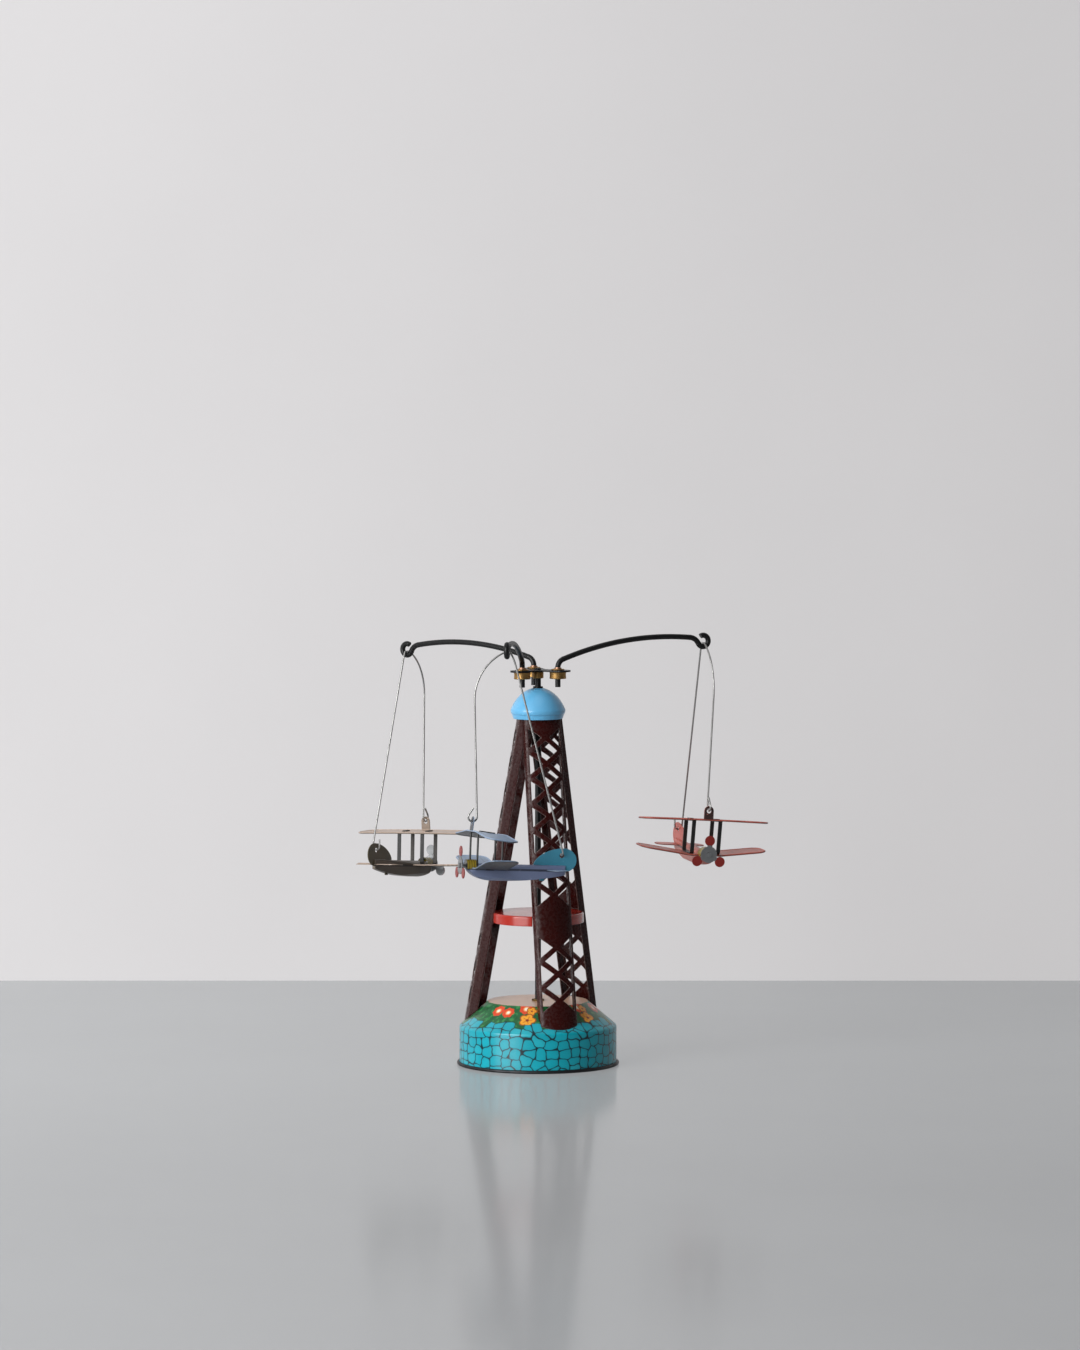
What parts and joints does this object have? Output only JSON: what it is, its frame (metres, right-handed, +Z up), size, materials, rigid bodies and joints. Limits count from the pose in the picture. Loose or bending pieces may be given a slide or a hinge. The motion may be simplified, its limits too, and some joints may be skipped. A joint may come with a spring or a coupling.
{
  "type": "tin airplane carousel toy",
  "caption": "Tinplate carousel toy: a lattice tower on a round printed base, with a spindle whose wire arms sling biplanes that swing out as it turns.",
  "frame": {"origin": "centre of the base's underside, on the surface that the toy stands on", "axes": "+Z up the spindle, -Y towards the viewer of the picture, +X to the viewer's right"},
  "size_m": [0.21, 0.2146, 0.2182],
  "materials": {
    "base_litho": "glossy printed tinplate, stone pattern with a band of flowers",
    "bare_tin": "bare tinplate",
    "steel": "plain steel",
    "spring_steel": "blued spring strip",
    "brass": "dull brass",
    "oxblood_enamel": "dark red-brown enamel",
    "orange_enamel": "glossy red-orange enamel",
    "sky_enamel": "glossy sky blue enamel",
    "black_enamel": "black enamel",
    "black_wire": "blackened wire",
    "hanger_wire": "thin grey wire",
    "coral_enamel": "worn coral enamel",
    "red_enamel": "red enamel",
    "tan_enamel": "pale tan enamel",
    "olive_enamel": "olive brown enamel",
    "dark_olive_enamel": "dark olive enamel",
    "pale_blue_enamel": "pale blue enamel",
    "periwinkle_enamel": "grey-blue enamel",
    "teal_enamel": "teal enamel",
    "gold_enamel": "olive gold enamel",
    "propeller_litho": "tin with red tips"
  },
  "bodies": {
    "tower": {"base_shell": "base_litho", "bottom_plate": "bare_tin", "motor_plate": "steel", "motor_pillars": "steel", "footstep_bearings": "brass", "base_bush": "brass", "mainspring": "spring_steel", "shelf": "orange_enamel", "cap_plate": "sky_enamel", "dome": "sky_enamel", "bearing_tube": "brass", "leg_front": "oxblood_enamel", "leg_right": "oxblood_enamel", "leg_left": "oxblood_enamel"},
    "winding_wheel": {"main_wheel": "brass", "arbor": "steel"},
    "rotor": {"spindle": "steel", "pinion": "brass", "spider": "black_enamel", "spider_hub": "brass", "eyelets": "brass"},
    "red_arm": {"red_arm": "black_wire"},
    "red_sling": {"red_hanger": "hanger_wire"},
    "red_biplane": {"red_hull": "coral_enamel", "red_deck": "coral_enamel", "red_lower_wing": "coral_enamel", "red_upper_wing": "coral_enamel", "red_struts": "black_enamel", "red_fin": "red_enamel", "red_tailplane": "coral_enamel", "red_cowl": "gold_enamel", "red_propeller_pin": "bare_tin"},
    "red_propeller": {"red_propeller": "propeller_litho"},
    "tan_arm": {"tan_arm": "black_wire"},
    "tan_sling": {"tan_hanger": "hanger_wire"},
    "tan_biplane": {"tan_hull": "olive_enamel", "tan_deck": "olive_enamel", "tan_lower_wing": "tan_enamel", "tan_upper_wing": "tan_enamel", "tan_struts": "black_enamel", "tan_fin": "dark_olive_enamel", "tan_tailplane": "tan_enamel", "tan_cowl": "gold_enamel", "tan_propeller_pin": "bare_tin"},
    "tan_propeller": {"tan_propeller": "propeller_litho"},
    "blue_arm": {"blue_arm": "black_wire"},
    "blue_sling": {"blue_hanger": "hanger_wire"},
    "blue_biplane": {"blue_hull": "periwinkle_enamel", "blue_deck": "periwinkle_enamel", "blue_lower_wing": "pale_blue_enamel", "blue_upper_wing": "pale_blue_enamel", "blue_struts": "black_enamel", "blue_fin": "teal_enamel", "blue_tailplane": "pale_blue_enamel", "blue_cowl": "gold_enamel", "blue_propeller_pin": "bare_tin"},
    "blue_propeller": {"blue_propeller": "propeller_litho"}
  },
  "joints": [
    {"name": "rotor_spin", "type": "hinge", "parent": "tower", "child": "rotor", "pos_m": [0, 0, 0], "axis": [0, 0, 1], "continuous": true},
    {"name": "winding_wheel_spin", "type": "hinge", "parent": "tower", "child": "winding_wheel", "pos_m": [-0.018, 0, 0], "axis": [0, 0, 1], "continuous": true},
    {"name": "red_arm_swivel", "type": "hinge", "parent": "rotor", "child": "red_arm", "pos_m": [0.00995, -0.00335, 0.198], "axis": [0, 0, 1], "range_deg": [-20, 20]},
    {"name": "red_sling_swing", "type": "hinge", "parent": "red_arm", "child": "red_sling", "pos_m": [0.08352, 0.0308, 0.21021], "axis": [0.3123, -0.95, 0], "range_deg": [-10, 40]},
    {"name": "red_biplane_rock", "type": "hinge", "parent": "red_sling", "child": "red_biplane", "pos_m": [0.08646, 0.02187, 0.12566], "axis": [0.3001, -0.9128, 0.277], "range_deg": [-10, 10]},
    {"name": "red_propeller_spin", "type": "hinge", "parent": "red_biplane", "child": "red_propeller", "pos_m": [0.08626, 0.01742, 0.10395], "axis": [0.2903, -0.956, -0.0428], "continuous": true},
    {"name": "tan_arm_swivel", "type": "hinge", "parent": "rotor", "child": "tan_arm", "pos_m": [-0.00208, 0.01029, 0.198], "axis": [0, 0, 1], "range_deg": [-20, 20]},
    {"name": "tan_sling_swing", "type": "hinge", "parent": "tan_arm", "child": "tan_sling", "pos_m": [-0.06686, 0.06018, 0.20403], "axis": [0.521, 0.8536, 0], "range_deg": [-10, 40]},
    {"name": "tan_biplane_rock", "type": "hinge", "parent": "tan_sling", "child": "tan_biplane", "pos_m": [-0.05779, 0.07503, 0.11548], "axis": [0.5075, 0.8314, 0.2263], "range_deg": [-10, 10]},
    {"name": "tan_propeller_spin", "type": "hinge", "parent": "tan_biplane", "child": "tan_propeller", "pos_m": [-0.05542, 0.07714, 0.09355], "axis": [0.53, 0.8426, -0.0956], "continuous": true},
    {"name": "blue_arm_swivel", "type": "hinge", "parent": "rotor", "child": "blue_arm", "pos_m": [-0.00788, -0.00694, 0.198], "axis": [0, 0, 1], "range_deg": [-20, 20]},
    {"name": "blue_sling_swing", "type": "hinge", "parent": "blue_arm", "child": "blue_sling", "pos_m": [-0.01505, -0.08729, 0.21288], "axis": [-0.9699, -0.2436, 0], "range_deg": [-10, 40]},
    {"name": "blue_biplane_rock", "type": "hinge", "parent": "blue_sling", "child": "blue_biplane", "pos_m": [-0.03183, -0.09151, 0.13083], "axis": [-0.9019, -0.2265, 0.3678], "range_deg": [-10, 10]},
    {"name": "blue_propeller_spin", "type": "hinge", "parent": "blue_biplane", "child": "blue_propeller", "pos_m": [-0.03756, -0.09426, 0.1096], "axis": [-0.9639, -0.261, 0.0528], "continuous": true}
  ],
  "couplings": [
    {"joint": "winding_wheel_spin", "follows": "rotor_spin", "ratio": -0.25}
  ]
}
